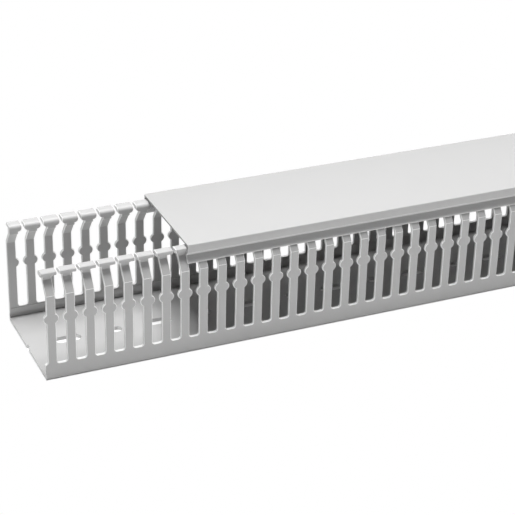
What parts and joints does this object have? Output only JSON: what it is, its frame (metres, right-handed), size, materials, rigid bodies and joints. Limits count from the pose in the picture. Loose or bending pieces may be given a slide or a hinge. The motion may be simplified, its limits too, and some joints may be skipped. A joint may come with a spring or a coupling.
{
  "type": "slotted wire duct",
  "caption": "Straight U-shaped wiring duct with finger-like slotted walls, a perforated floor and a clip-on cover slid part of the way along.",
  "frame": {"origin": "middle of the base's underside, on the mounting plane", "axes": "+X along the duct, away from the open end, +Y across it, +Z from the mounting plane up to the cover"},
  "size_m": [1.094, 0.08, 0.0761],
  "materials": {
    "base": "fine matt grey rigid PVC",
    "cover": "fine matt grey rigid PVC"
  },
  "bodies": {
    "base": {"slotted_base": "base"},
    "cover": {"snap_cover": "cover"}
  },
  "joints": [
    {"name": "cover_slide", "type": "slide", "parent": "base", "child": "cover", "axis": [1, 0, 0], "range_m": [-0.094, 0.3]}
  ]
}
